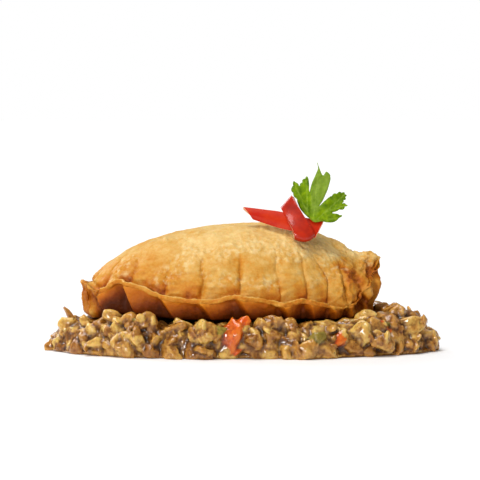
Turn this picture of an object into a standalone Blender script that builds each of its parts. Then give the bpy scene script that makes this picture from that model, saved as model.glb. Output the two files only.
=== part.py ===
"""A fried half-moon turnover laid on a bed of chopped onion relish, with a tied strip of red pepper and a parsley leaf.

Metres, +Z up, the crimped front towards -Y. The origin is on the surface it stands on, under the relish's middle.
"""

import dataclasses
import functools
import math
import random

import bmesh
import bpy
import numpy as np
from mathutils import Euler, Matrix, Vector, noise
from mathutils.bvhtree import BVHTree
from mathutils.geometry import delaunay_2d_cdt

MM = 0.001
GAP = 0.3 * MM

# The relish: a low heap of chopped onion with a little carrot and green pepper.
RELISH_LENGTH = 159 * MM
RELISH_DEPTH = 77 * MM
RELISH_TOP = 12.7 * MM
CORE_INSET = 5.5 * MM
CORE_SIDES = 40
# The core's section from its foot to its level top: (share of the outline's radius, share of the height).
CORE_PROFILE = ((1.0, 0), (1.0, 0.25), (0.985, 0.55), (0.94, 0.85), (0.86, 0.98), (0.72, 1.0))
PIECE_PITCH = 9.4 * MM
PIECE_LENGTH = (7.5 * MM, 12 * MM)
PIECE_CLEARANCE = 0.9 * MM
# Rows of pieces from the foot of the heap to its top: (share of the outline's radius, height of their middles in mm).
PIECE_ROWS = ((1.01, 2.6), (0.98, 6.2), (0.92, 9.6), (0.82, 11.6), (0.71, 12.2))
# How much higher the pieces lie at both ends, and how far the upper ones are drawn in at the left end, which tapers.
END_RISE = 3.2 * MM
LEFT_TAPER = 0.075

# The turnover, in mm from the middle of its fold: plan outline, crown line, lip line and sections.
TURNOVER_CENTRE = Vector((-5 * MM, 4 * MM))
HALF_LENGTH = 59 * MM
FRONT_DEPTH = 35 * MM
BACK_DEPTH = 23 * MM
TURNOVER_BASE = RELISH_TOP + GAP
# Height of the crown along the length.
CROWN = (
    (-60, 31), (-52, 36), (-40, 41), (-26, 46), (-12, 48.8), (0, 50.1), (12, 50.6), (28, 49.4), (36, 46.6), (44, 43),
    (52, 40.5), (60, 39),
)
# Angle of each crease pressed into the rim, in degrees round the plan; the front is at -90.
CREASES = (-206, -186, -169, -152, -134, -116, -101, -85.5, -69, -57.5, -46, -35, -24, -12, 6, 28)
# By angle in degrees: the lip's height, how far the underside runs in below it, and how round that underside is.
SECTIONS = (
    (-206, 26, 8, 1), (-180, 27.5, 4, 1), (-165, 28, 4, 1), (-154, 25.5, 9, 0.4), (-146, 27, 13, 0),
    (-140, 30.2, 14, 0), (-133, 29, 14, 0), (-122, 26, 14, 0), (-110, 23.2, 14, 0), (-96, 23.4, 14, 0),
    (-88, 24.2, 14, 0), (-79, 23.2, 14, 0), (-70, 21.9, 14, 0), (-61, 22.9, 14, 0), (-52, 21, 13, 0),
    (-44, 19.4, 12, 0), (-33, 20.5, 9, 0.5), (-20, 27, 5, 1), (-5, 35, 4, 1), (12, 38, 5, 1), (28, 33, 9, 1),
    (60, 28, 13, 1), (120, 28, 13, 1), (154, 28, 8, 1),
)
STEPS_PER_CREASE = 5
BACK_STEPS = 16
LIP_WIDTH = 3.6 * MM
LIP_THICKNESS = 1.9 * MM
SHELF_DIP = 0.9 * MM
EDGE_WAVE = 1.4 * MM
PLEAT_DEPTH = 3.6 * MM
PLEAT_SLANT = 0.35
GROOVE_DEPTH = 1.1 * MM
LOBE_DEPTH = 3.2 * MM
LOBES_FROM = 38 * MM
DOME_FULLNESS = 2.4
# How the rings are shared out: underside, lip's edge, top of the lip, dome.
RING_COUNTS = (5, 2, 2, 8)

# The garnish, in mm across, away from the front, and up, from the middle of the pepper's loop.
GARNISH_CENTRE = Vector((21.6 * MM, -9.6 * MM, 52.4 * MM))
PEPPER_THICKNESS = 1.5 * MM
# The straight strip through the loop: its upper and lower edges, as (across, up).
TAIL_TOP = ((-21.2, 4.6), (-13, 3.8), (-6, 3.0), (2, 1.0), (10.8, -0.4))
TAIL_BOTTOM = ((-17.0, 0.4), (-12, -1.4), (-6, -3.2), (2, -4.8), (7.4, -6.8))
TAIL_LEAN = 0.45
TAIL_SWEEP = 4.5
LOOP_HALF_LENGTH = 9.0 * MM
LOOP_HALF_DEPTH = 1.9 * MM
LOOP_WIDTH = 7.0 * MM
LOOP_BOW = 1.8
LOOP_SLOPE = Vector((0.51, -0.72, -1)).normalized()
# The parsley's edge, as (across, up), and its ribs. Its left side turns away behind the loop.
LEAF_THICKNESS = 0.4 * MM
LEAF_AWAY = -2.2
LEAF_LEAN = 0.45
LEAF_TURN = 0.6
LEAF_GRID = 1.9
LEAF_STEPS = 3
LEAF_EDGE = (
    (5.2, 0.8), (3.2, 2.6), (1.3, 5.0), (0.2, 8.0), (-1.7, 11.3), (-0.7, 15.1), (1.3, 13.6), (2.6, 15.5),
    (4.4, 17.1), (5.0, 14.3), (5.0, 12.1), (5.4, 11.3), (6.2, 14.7), (8.6, 20.1), (8.3, 22.7), (9.3, 20.3),
    (10.6, 17.7), (12.0, 19.1), (13.6, 17.3), (12.6, 12.9), (10.8, 8.7), (9.0, 5.7), (12.4, 8.8), (15.2, 10.6),
    (18.0, 11.2), (19.6, 10.2), (19.2, 8.4), (18.2, 7.0), (20.0, 6.3), (18.0, 4.6), (14.0, 3.2), (17.8, 2.2),
    (15.0, -0.3), (12.0, -0.5), (10.0, -0.1), (7.2, -0.5),
)
LEAF_RIBS = (
    ((6.2, -0.9), (-0.4, 13.7)), ((4.6, 4.1), (4.0, 15.7)), ((6.4, -0.9), (8.8, 20.1)), ((9.0, 8.1), (12.2, 17.7)),
    ((7.0, -0.4), (19.2, 10.3)), ((10.6, 3.1), (19.6, 6.1)), ((7.0, -0.5), (17.2, 1.3)),
)


# ---------------------------------------------------------------- curves and noise


def ease(t):
    """0 to 1, level at both ends."""
    t = min(1.0, max(0.0, t))
    return t * t * (3 - 2 * t)


def smooth_table(table, x):
    """The values at x of the smooth curve through a table whose rows start with x."""
    rows = np.array(table, float)
    places, values = rows[:, 0], rows[:, 1:]
    slopes = np.gradient(values, places, axis=0)
    i = int(np.clip(np.searchsorted(places, x) - 1, 0, len(places) - 2))
    width = places[i + 1] - places[i]
    t = min(1.0, max(0.0, (x - places[i]) / width))
    start = (1 + 2 * t) * (1 - t) ** 2 * values[i] + t * (1 - t) ** 2 * width * slopes[i]
    end = t * t * (3 - 2 * t) * values[i + 1] - t * t * (1 - t) * width * slopes[i + 1]
    return start + end


def curve_through(points, t):
    """The point at t, 0 to 1, of a smooth curve through evenly shared points."""
    last = len(points) - 1
    table = [(i, *point) for i, point in enumerate(points)]
    return smooth_table(table, t * last)


def lumps(point, scale):
    """Smooth unevenness, about -1 to 1 on each axis."""
    return noise.noise_vector(Vector(point) / scale)


# ---------------------------------------------------------------- turnover


def round_the_rim():
    """The angle and the crease count of each side of the crust, along the crimped rim and then round the back."""
    sides = []
    for number, (start, end) in enumerate(zip(CREASES, CREASES[1:])):
        for step in range(STEPS_PER_CREASE):
            share = step / STEPS_PER_CREASE
            sides.append((math.radians(start + (end - start) * share), number + share))
    for angle in np.linspace(CREASES[-1], CREASES[0] + 360, BACK_STEPS, endpoint=False):
        sides.append((math.radians(angle), len(CREASES) - 1.0))
    return sides


SIDES = round_the_rim()


@dataclasses.dataclass
class Rim:
    """What one side's section hangs on: a place on the rim, in plan, and the shape of the section there."""

    point: Vector
    outward: Vector
    lip: float
    inset: float
    roundness: float
    crimped: float
    lobed: float
    crease: float


@functools.lru_cache(maxsize=None)
def rim_at(side):
    """The rim at one side of the crust."""
    angle, crease = SIDES[side]
    depth = FRONT_DEPTH if math.sin(angle) < 0 else BACK_DEPTH
    point = Vector((HALF_LENGTH * math.cos(angle), depth * math.sin(angle)))
    outward = Vector((math.cos(angle) / HALF_LENGTH, math.sin(angle) / depth)).normalized()
    degrees = math.degrees(angle)
    lip, inset, roundness = smooth_table(SECTIONS, degrees - 360 if degrees > SECTIONS[-1][0] else degrees)
    crimped = ease(crease / 1.4) * ease((len(CREASES) - 1 - crease) / 1.4)
    lobed = ease((point.x - LOBES_FROM) / (12 * MM))
    return Rim(point, outward, lip * MM, inset * MM, roundness, crimped, lobed, crease)


def unlike(number):
    """A size of its own for each crease or pleat, about 1."""
    return 1 + 0.8 * noise.noise(Vector((number * 7.31, 2.7, 0.4)))


def pleat(crease):
    """A pleat's height, -0.5 to 0.5: proud at its first crease, it falls away to the next, which it slips under."""
    share = crease % 1
    fall = 0.86
    saw = 1 - share / fall if share < fall else (share - fall) / (1 - fall)
    return (saw - 0.5) * unlike(math.floor(crease + 1 - fall))


def groove(crease):
    """A narrow groove at each crease, -1 at its deepest, between nearly flat pillows."""
    return 0.15 - abs(2 * (crease % 1) - 1) ** 4 * unlike(round(crease) + 40)


def lobe(crease):
    """A full round swelling between two creases, -0.5 to 0.5."""
    return 0.5 - abs(2 * (crease % 1) - 1) ** 2.5


def edge_wave(rim):
    """How far the lip's edge stands out or in at a crease."""
    return EDGE_WAVE * rim.crimped * pleat(rim.crease) + LOBE_DEPTH * rim.lobed * rim.crimped * lobe(rim.crease)


def lip_thickness(rim):
    """The lip's thickness, which dies away where the rim runs out into lobes and round the folded back."""
    return LIP_THICKNESS * (0.2 + 0.8 * rim.crimped * (1 - 0.6 * rim.lobed))


def under_drop(rim, along):
    """How far down the underside is, 0 to 1, from the lip's lower edge, along 0, to the base, along 1. Under the
    crimped rim it runs in level, falls steeply where the pleats show and then levels out."""
    pleated = 0.06 * along + 0.74 * ease((along - 0.1) / 0.42) + 0.2 * along**2
    return (1 - rim.roundness) * pleated + rim.roundness * math.sin(along * math.pi / 2)


def fold_height(rim, along):
    """A pleat's height under the rim, -0.5 to 0.5. The pleats lean over on their way down."""
    return pleat(rim.crease - PLEAT_SLANT * under_drop(rim, along))


def underside_point(rim, up):
    """From the flat base, up 0, out to the lip's lower edge, up 1."""
    along = 1 - up
    inward = (1 - rim.roundness) * along**1.6 + rim.roundness * (1 - math.cos(along * math.pi / 2))
    lower_edge = rim.lip - lip_thickness(rim)
    depth = ease((along + 0.03) / 0.25) * ease((1 - along) / 0.4)
    fold = rim.crimped * PLEAT_DEPTH * fold_height(rim, along) * depth
    x, y = rim.point + rim.outward * (fold + edge_wave(rim) * (1 - along**2) - rim.inset * inward)
    return Vector((x, y, lower_edge - (lower_edge - TURNOVER_BASE) * under_drop(rim, along)))


def lip_point(rim, up):
    """Round the lip's edge, from its lower corner, up 0, to its upper one, up 1."""
    swell = 0.35 * MM * math.sin(math.pi * up)
    x, y = rim.point + rim.outward * (edge_wave(rim) + swell * rim.crimped)
    return Vector((x, y, rim.lip - lip_thickness(rim) * (1 - up)))


def root_point(rim):
    """Where the dome rises from the rim."""
    x, y = rim.point - rim.outward * LIP_WIDTH * rim.crimped * (1 - 0.6 * rim.lobed)
    return Vector((x, y, rim.lip - SHELF_DIP * rim.crimped * (1 - rim.lobed)))


def shelf_point(rim, inward):
    """Along the rim's top, from the lip's edge, inward 0, to the dome's root, inward 1."""
    point = lip_point(rim, 1).lerp(root_point(rim), inward)
    point.z -= 0.3 * MM * rim.crimped * math.sin(math.pi * inward)
    return point


def dome_point(rim, up):
    """Over the dome, from its root, up 0, to the crown, up 1. The grooves fade out on the way up, each at its own
    height, and the right end swells into lobes."""
    root = root_point(rim)
    out = math.cos(up * math.pi / 2)
    x = root.x * out**0.4
    y = root.y * out
    crown = smooth_table(CROWN, x / MM)[0] * MM
    rise = max(0.0, 1 - out**DOME_FULLNESS) ** 0.5
    wander = 0.1 * noise.noise(Vector((rim.crease * 0.7, up * 6, 9.1))) * ease(up / 0.2)
    ends = 0.5 + 0.25 * (unlike(round(rim.crease)) - 1)
    swell = GROOVE_DEPTH * groove(rim.crease + wander) * ease(up / 0.08) * ease((ends - up) / 0.25)
    swell += LOBE_DEPTH * rim.lobed * lobe(rim.crease + wander) * ease((0.55 - up) / 0.4)
    x, y = Vector((x, y)) + rim.outward * swell * rim.crimped
    return Vector((x, y, root.z + (crown - root.z) * rise + 0.3 * swell * rim.crimped))


STRETCHES = (underside_point, lip_point, shelf_point, dome_point)


def crust_point(side, station):
    """A point of the crust: a whole station starts each of the four stretches of its section, from base to crown."""
    rim = rim_at(side)
    stretch = min(int(station), len(STRETCHES) - 1)
    point = STRETCHES[stretch](rim, station - stretch)
    off_base = ease((point.z - TURNOVER_BASE) / (6 * MM))
    rough = 0.5 + 0.3 * rim.crimped + 1.2 * ease((point.x - LOBES_FROM) / (12 * MM))
    point += lumps(point, 9 * MM) * rough * off_base * MM
    point.z = max(TURNOVER_BASE, point.z)
    return point + TURNOVER_CENTRE.to_3d()


def make_turnover():
    """The crust and its filling as one solid, shaped from a sphere whose rings become the stations of the section."""
    stations = []
    for stretch, count in enumerate(RING_COUNTS):
        stations.extend(stretch + step / count for step in range(count))
    rings = len(stations) + 1
    bpy.ops.mesh.primitive_uv_sphere_add(segments=len(SIDES), ring_count=rings)
    turnover = bpy.context.object
    for vertex in turnover.data.vertices:
        x, y, z = vertex.co
        ring = round((math.asin(max(-1.0, min(1.0, z))) / math.pi + 0.5) * rings)
        side = round(math.atan2(y, x) / (2 * math.pi) * len(SIDES)) % len(SIDES)
        if ring == 0:
            vertex.co = (*TURNOVER_CENTRE, TURNOVER_BASE)
        else:
            vertex.co = crust_point(side, stations[ring - 1] if ring < rings else len(STRETCHES))
    return finish(turnover, "turnover", CRUST, smooth_angle=50)


# ---------------------------------------------------------------- relish


def heap_outline(angle, inset=0.0):
    """The relish's uneven outline in plan."""
    c, s = math.cos(angle), math.sin(angle)
    radius = 1 / math.sqrt((c / (RELISH_LENGTH / 2 - inset)) ** 2 + (s / (RELISH_DEPTH / 2 - inset)) ** 2)
    wander = noise.noise(Vector((2.2 * c, 2.2 * s, 0.3))) + 0.5 * noise.noise(Vector((5 * c, 5 * s, 4.1)))
    squarer = 1 + 0.06 * math.sin(2 * angle) ** 2
    return Vector((c, s)) * radius * squarer * (1 + 0.045 * wander)


def make_core():
    """The sauce and finely chopped part of the heap: a flat underside, steep uneven sides and a level top."""
    bpy.ops.mesh.primitive_uv_sphere_add(segments=CORE_SIDES, ring_count=len(CORE_PROFILE) + 1)
    core = bpy.context.object
    for vertex in core.data.vertices:
        x, y, z = vertex.co
        ring = round((math.asin(max(-1.0, min(1.0, z))) / math.pi + 0.5) * (len(CORE_PROFILE) + 1))
        share, level = ((0, 0), *CORE_PROFILE, (0, 1))[ring]
        plan = heap_outline(math.atan2(y, x), CORE_INSET) * share
        uneven = 0.12 * ease((share - 0.7) / 0.15) * (1 + noise.noise(Vector((plan.x, plan.y, z)) / (7 * MM)))
        vertex.co = (plan.x, plan.y, RELISH_TOP * level * (1 - uneven))
    return core


def onion_piece(length, width, thick, bend, draw):
    """A chopped flake of onion: a block in two sections, its ends tapered and bent, its corners uneven."""
    mesh = bmesh.new()
    bmesh.ops.create_cube(mesh, size=1)
    along = [e for e in mesh.edges if abs((e.verts[0].co - e.verts[1].co).x) > 0.5]
    bmesh.ops.subdivide_edges(mesh, edges=along, cuts=1)
    for vertex in mesh.verts:
        x, y, z = vertex.co
        taper = 1 - 0.45 * abs(2 * x) + draw.uniform(-0.12, 0.12)
        vertex.co = (x * length, y * width * taper, z * thick * taper + bend * (0.5 - abs(2 * x)))
    piece = bpy.data.objects.new("piece", bpy.data.meshes.new("piece"))
    mesh.to_mesh(piece.data)
    mesh.free()
    return piece


def ceiling(x, y):
    """The lowest height of the crust over a point of the heap, or None where nothing is above it."""
    found, _, _, _ = CRUST_TREE.ray_cast(Vector((x, y, -1)), Vector((0, 0, 1)))
    return found.z if found else None


def lower_clear(points):
    """How far down the points have to go to clear the crust above them."""
    down = 0.0
    for point in points:
        for dx, dy in ((0, 0), (1, 0), (-1, 0), (0, 1), (0, -1)):
            over = ceiling(point.x + dx * MM, point.y + dy * MM)
            if over is not None:
                down = max(down, point.z - over + PIECE_CLEARANCE)
    return down


def place_piece(share, height, angle, draw):
    """One piece lying on the heap, or None where the crust leaves it no room."""
    left = ease((-math.cos(angle) - 0.75) / 0.25)
    plan = heap_outline(angle, CORE_INSET) * (share - LEFT_TAPER * left * height / RELISH_TOP)
    length = draw.uniform(*PIECE_LENGTH)
    width = length * draw.uniform(0.6, 0.8)
    piece = onion_piece(length, width, length * draw.uniform(0.4, 0.6), length * draw.uniform(0, 0.15), draw)
    tilt = draw.uniform(-0.5, 0.5)
    steep = math.radians(75) * ease((share - 0.8) / 0.2)
    lean = Euler((draw.uniform(-0.5, 0.5) - steep, tilt, 0))
    spin = Euler((0, 0, draw.uniform(-1.2, 1.2)))
    turn = Euler((0, 0, angle - math.pi / 2)).to_matrix() @ lean.to_matrix() @ spin.to_matrix()
    rise = END_RISE * ease((abs(math.cos(angle)) - 0.7) / 0.3) * ease((height / MM - 8.4) / 3)
    piece.data.transform(Matrix.Translation((plan.x, plan.y, height + rise)) @ turn.to_4x4())
    down = lower_clear([v.co for v in piece.data.vertices])
    if down > 0.35 * height:
        bpy.data.objects.remove(piece)
        return None
    for vertex in piece.data.vertices:
        vertex.co.z = max(0.0, vertex.co.z - down)
    return piece


def place_pieces():
    """The chopped pieces in rows round the heap, none of them in the same place or attitude as the next."""
    draw = random.Random(11)
    pieces = []
    for row, (share, height) in enumerate(PIECE_ROWS):
        around = 2 * math.pi * share * math.sqrt((RELISH_LENGTH**2 + RELISH_DEPTH**2) / 8)
        count = round(around / PIECE_PITCH)
        for index in range(count):
            angle = even_angle((index + 0.5 * (row % 2) + draw.uniform(-0.25, 0.25)) / count)
            piece = place_piece(share, height * MM + draw.uniform(-0.8, 0.8) * MM, angle, draw)
            if piece:
                pieces.append(piece)
    return pieces


def even_angle(share):
    """The angle at a share of the way round the heap's outline."""
    fine = np.linspace(0, 2 * math.pi, 181)
    plan = np.array([heap_outline(a) for a in fine])
    along = np.concatenate([[0], np.cumsum(np.linalg.norm(np.diff(plan, axis=0), axis=1))])
    return float(np.interp((share % 1) * along[-1], along, fine))


def make_relish():
    """The heap: chopped pieces pushed into the core, joined to it by one Boolean."""
    pieces = bpy.data.collections.new("relish pieces")
    bpy.context.scene.collection.children.link(pieces)
    for piece in place_pieces():
        pieces.objects.link(piece)
    core = make_core()
    join = core.modifiers.new("pieces", "BOOLEAN")
    join.operation = "UNION"
    join.operand_type = "COLLECTION"
    join.collection = pieces
    join.solver = "MANIFOLD"
    relish = applied(core)
    for piece in list(pieces.objects):
        bpy.data.objects.remove(piece)
    bpy.data.collections.remove(pieces)
    keep_largest_shell(relish.data)
    return finish(relish, "relish", ONION, smooth_angle=20)


def keep_largest_shell(mesh):
    """Splits the faces into triangles and drops loose scraps and the inner shells of hollows the joining sealed."""
    work = bmesh.new()
    work.from_mesh(mesh)
    bmesh.ops.triangulate(work, faces=work.faces)
    left, shells = set(work.faces), []
    while left:
        shell, front = set(), [left.pop()]
        while front:
            face = front.pop()
            shell.add(face)
            plain = [edge for edge in face.edges if len(edge.link_faces) == 2]
            near = {other for edge in plain for other in edge.link_faces} & left
            left -= near
            front.extend(near)
        shells.append(shell)
    shells.sort(key=len)
    bmesh.ops.delete(work, geom=[face for shell in shells[:-1] for face in shell], context="FACES")
    work.to_mesh(mesh)
    work.free()


# ---------------------------------------------------------------- pepper strip


def garnish_point(across, up, away=0.0):
    """A point of the garnish, in mm across to the right, up, and away from the front."""
    return GARNISH_CENTRE + Vector((across, away, up)) * MM


def tail_point(along, over):
    """A point of the strip that runs from the pointed left end, through the loop, to the short right end."""
    x, z = curve_through(TAIL_BOTTOM, along) * (1 - over) + curve_through(TAIL_TOP, along) * over
    bow = 0.6 * (1 - (2 * over - 1) ** 2)
    return garnish_point(x, z, TAIL_LEAN * z + TAIL_SWEEP * ease(-x / 22) - bow)


def loop_point(turn, over):
    """A point of the loop round the strip: an oval band that lies back against the crust, wrung a little, its lower
    end bowed."""
    c, s = math.cos(turn), math.sin(turn)
    wide = Vector((0.82 + 0.2 * c, 0.1, 0.42 - 0.28 * c))
    through = LOOP_SLOPE.cross(wide).normalized()
    depth = LOOP_HALF_DEPTH * abs(s) ** 0.7 * math.copysign(1, s)
    down = LOOP_HALF_LENGTH * c + LOOP_BOW * MM * max(0.0, c) * (0.35 - 4 * over**2)
    return garnish_point(0, 0) + LOOP_SLOPE * down + through * depth + wide * LOOP_WIDTH * over


def make_pepper():
    """One strip of pepper wall: the straight strip and the loop tied round it, joined where they press together."""
    bpy.ops.mesh.primitive_grid_add(x_subdivisions=16, y_subdivisions=2, size=1)
    tail = bpy.context.object
    for vertex in tail.data.vertices:
        vertex.co = tail_point(vertex.co.x + 0.5, vertex.co.y + 0.5)
    bpy.ops.mesh.primitive_cylinder_add(vertices=28, radius=1, depth=1, end_fill_type="NOTHING")
    loop = bpy.context.object
    divide_height(loop.data)
    for vertex in loop.data.vertices:
        x, y, z = vertex.co
        vertex.co = loop_point(math.atan2(y, x), z)
    tail = thickened(tail, PEPPER_THICKNESS)
    loop = thickened(loop, PEPPER_THICKNESS)
    join = tail.modifiers.new("loop", "BOOLEAN")
    join.operation = "UNION"
    join.object = loop
    join.solver = "MANIFOLD"
    pepper = applied(tail)
    bpy.data.objects.remove(loop)
    return finish(pepper, "pepper_strip", PEPPER, smooth_angle=40)


def divide_height(mesh):
    """Cuts the upright edges of an open cylinder in half."""
    work = bmesh.new()
    work.from_mesh(mesh)
    upright = [e for e in work.edges if abs(e.verts[0].co.z - e.verts[1].co.z) > 0.5]
    bmesh.ops.subdivide_edges(work, edges=upright, cuts=1)
    work.to_mesh(mesh)
    work.free()


# ---------------------------------------------------------------- parsley


def distance_to_rib(rib, x, z):
    """The distance, in mm, from a point of the leaf to one rib."""
    start, end = Vector(rib[0]), Vector(rib[1])
    along = end - start
    share = min(1, max(0, (Vector((x, z)) - start).dot(along) / along.length_squared))
    return (Vector((x, z)) - start - along * share).length


def leaf_point(x, z):
    """A point of the leaf, from its place in the front view: it leans back, each lobe creased along its rib."""
    rib = min(distance_to_rib(r, x, z) for r in LEAF_RIBS)
    fold = -0.2 * rib**1.3
    bend = -0.03 * max(0, x - 8) ** 1.6
    wave = 0.25 * math.sin(1.1 * x + 0.7 * z)
    clear = ease((x - 3) / 3) * ease((z + 1) / 5)
    return garnish_point(x, z, LEAF_AWAY + LEAF_LEAN * z + LEAF_TURN * max(0, 6 - x) + (fold + bend + wave) * clear)


def inside_outline(point, edge):
    """Whether a point lies inside the closed outline."""
    inside = False
    for a, b in zip(edge, edge[1:] + edge[:1]):
        if (a.y > point.y) != (b.y > point.y) and point.x < a.x + (point.y - a.y) * (b.x - a.x) / (b.y - a.y):
            inside = not inside
    return inside


def make_parsley():
    """A thin lobed leaf, its two faces alike, standing with its foot tucked behind the loop."""
    count = LEAF_STEPS * len(LEAF_EDGE)
    edge = [Vector(curve_through(LEAF_EDGE + LEAF_EDGE[:1], i / count)) for i in range(count)]
    inner = []
    for row in range(-3, 14):
        for column in range(-2, 12):
            point = Vector((column + 0.5 * (row % 2), row * math.sqrt(0.75))) * LEAF_GRID
            if inside_outline(point, edge) and min((point - e).length for e in edge) > 0.5 * LEAF_GRID:
                inner.append(point)
    ring = [(i, (i + 1) % count) for i in range(count)]
    points, _, faces, *_ = delaunay_2d_cdt(edge + inner, ring, [], 1, 1e-4)
    mesh = bpy.data.meshes.new("parsley")
    mesh.from_pydata([leaf_point(x, z) for x, z in points], [], faces)
    leaf = bpy.data.objects.new("parsley", mesh)
    bpy.context.scene.collection.objects.link(leaf)
    return finish(thickened(leaf, LEAF_THICKNESS), "parsley", LEAF, smooth_angle=60)


# ---------------------------------------------------------------- shared steps


def applied(obj):
    """The object with its modifiers applied."""
    graph = bpy.context.evaluated_depsgraph_get()
    mesh = bpy.data.meshes.new_from_object(obj.evaluated_get(graph))
    made = bpy.data.objects.new(obj.name, mesh)
    bpy.context.scene.collection.objects.link(made)
    bpy.data.objects.remove(obj)
    return made


def thickened(obj, thickness):
    """An open surface made a closed solid, with half its thickness to each side and its faces turned outwards."""
    shell = obj.modifiers.new("thickness", "SOLIDIFY")
    shell.thickness = thickness
    shell.offset = 0
    made = applied(obj)
    work = bmesh.new()
    work.from_mesh(made.data)
    bmesh.ops.recalc_face_normals(work, faces=work.faces)
    work.to_mesh(made.data)
    work.free()
    return made


def finish(obj, name, material, smooth_angle):
    """Names the object, gives it its material and puts it in the part's collection."""
    obj.name = name
    obj.data.materials.clear()
    obj.data.materials.append(material)
    obj.data.shade_smooth()
    obj.data.set_sharp_from_angle(angle=math.radians(smooth_angle))
    for collection in list(obj.users_collection):
        collection.objects.unlink(obj)
    PART.objects.link(obj)
    return obj


def material(name, colour, roughness):
    """A Principled material with the part's colour and roughness."""
    made = bpy.data.materials.new(name)
    made.use_nodes = True
    shader = made.node_tree.nodes["Principled BSDF"]
    shader.inputs["Base Color"].default_value = (*colour, 1)
    shader.inputs["Roughness"].default_value = roughness
    shader.inputs["Metallic"].default_value = 0
    return made


for old in list(bpy.data.objects):
    bpy.data.objects.remove(old)
PART = bpy.data.collections.new("fataya")
bpy.context.scene.collection.children.link(PART)
CRUST = material("fried crust", (0.69, 0.40, 0.12), 0.5)
ONION = material("cooked onion", (0.42, 0.27, 0.10), 0.3)
PEPPER = material("red pepper", (0.65, 0.03, 0.01), 0.25)
LEAF = material("parsley", (0.13, 0.33, 0.01), 0.45)

turnover = make_turnover()
CRUST_TREE = BVHTree.FromObject(turnover, bpy.context.evaluated_depsgraph_get())
make_relish()
make_pepper()
make_parsley()
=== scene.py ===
"""The looks of the fataya: a fried crust, a wet chopped relish, a strip of red pepper and a parsley leaf.

Metres, +Z up, the crimped front towards -Y. The origin is on the surface it stands on, under the relish's middle.
"""

import dataclasses
import functools
import math
import random

import bmesh
import bpy
import numpy as np
from mathutils import Euler, Matrix, Vector, noise
from mathutils.bvhtree import BVHTree
from mathutils.geometry import delaunay_2d_cdt


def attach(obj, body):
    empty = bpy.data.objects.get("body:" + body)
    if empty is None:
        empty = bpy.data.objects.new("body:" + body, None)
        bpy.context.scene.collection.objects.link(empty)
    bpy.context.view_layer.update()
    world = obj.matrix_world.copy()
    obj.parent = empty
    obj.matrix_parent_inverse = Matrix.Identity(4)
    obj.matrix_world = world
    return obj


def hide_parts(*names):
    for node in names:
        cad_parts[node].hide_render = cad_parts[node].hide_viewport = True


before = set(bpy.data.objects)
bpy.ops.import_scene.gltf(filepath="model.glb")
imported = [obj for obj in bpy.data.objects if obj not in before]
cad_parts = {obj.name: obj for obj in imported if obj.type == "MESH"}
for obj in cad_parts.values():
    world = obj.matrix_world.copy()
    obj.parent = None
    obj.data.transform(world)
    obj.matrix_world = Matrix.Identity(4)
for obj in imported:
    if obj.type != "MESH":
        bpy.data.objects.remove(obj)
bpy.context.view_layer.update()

MM = 0.001
# Without a seed, vector noise differs from one run to the next.
NOISE_SEED = 7
noise.seed_set(NOISE_SEED)

# ---- the sizes that the solids have too

RELISH_LENGTH = 159 * MM
RELISH_DEPTH = 77 * MM
RELISH_TOP = 12.7 * MM
CORE_INSET = 5.5 * MM
PIECE_PITCH = 9.4 * MM
PIECE_LENGTH = (7.5 * MM, 12 * MM)
PIECE_CLEARANCE = 0.9 * MM
PIECE_ROWS = ((1.01, 2.6), (0.98, 6.2), (0.92, 9.6), (0.82, 11.6), (0.71, 12.2))
END_RISE = 3.2 * MM
LEFT_TAPER = 0.075

TURNOVER_CENTRE = Vector((-5 * MM, 4 * MM))
HALF_LENGTH = 59 * MM
FRONT_DEPTH = 35 * MM
BACK_DEPTH = 23 * MM
TURNOVER_BASE = 13 * MM
# The crown's height over each place from left to right, in mm.
CROWN = (
    (-60, 31), (-52, 36), (-40, 41), (-26, 46), (-12, 48.8), (0, 50.1), (12, 50.6), (28, 49.4), (36, 46.6), (44, 43),
    (52, 40.5), (60, 39),
)
# Angles round the rim, in degrees from the right end.
CREASES = (-206, -186, -169, -152, -134, -116, -101, -85.5, -69, -57.5, -46, -35, -24, -12, 6, 28)
# Sections round the rim: angle, the lip's height and the base's inset in mm, and roundness.
SECTIONS = (
    (-206, 26, 8, 1), (-180, 27.5, 4, 1), (-165, 28, 4, 1), (-154, 25.5, 9, 0.4), (-146, 27, 13, 0),
    (-140, 30.2, 14, 0), (-133, 29, 14, 0), (-122, 26, 14, 0), (-110, 23.2, 14, 0), (-96, 23.4, 14, 0),
    (-88, 24.2, 14, 0), (-79, 23.2, 14, 0), (-70, 21.9, 14, 0), (-61, 22.9, 14, 0), (-52, 21, 13, 0),
    (-44, 19.4, 12, 0), (-33, 20.5, 9, 0.5), (-20, 27, 5, 1), (-5, 35, 4, 1), (12, 38, 5, 1), (28, 33, 9, 1),
    (60, 28, 13, 1), (120, 28, 13, 1), (154, 28, 8, 1),
)
LIP_WIDTH = 3.6 * MM
LIP_THICKNESS = 1.9 * MM
SHELF_DIP = 0.9 * MM
EDGE_WAVE = 1.4 * MM
PLEAT_DEPTH = 3.6 * MM
PLEAT_SLANT = 0.35
GROOVE_DEPTH = 1.5 * MM
LOBE_DEPTH = 3.2 * MM
LOBES_FROM = 38 * MM
DOME_FULLNESS = 2.4

GARNISH_CENTRE = Vector((21.6 * MM, -9.6 * MM, 52.4 * MM))
PEPPER_THICKNESS = 1.5 * MM
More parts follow.
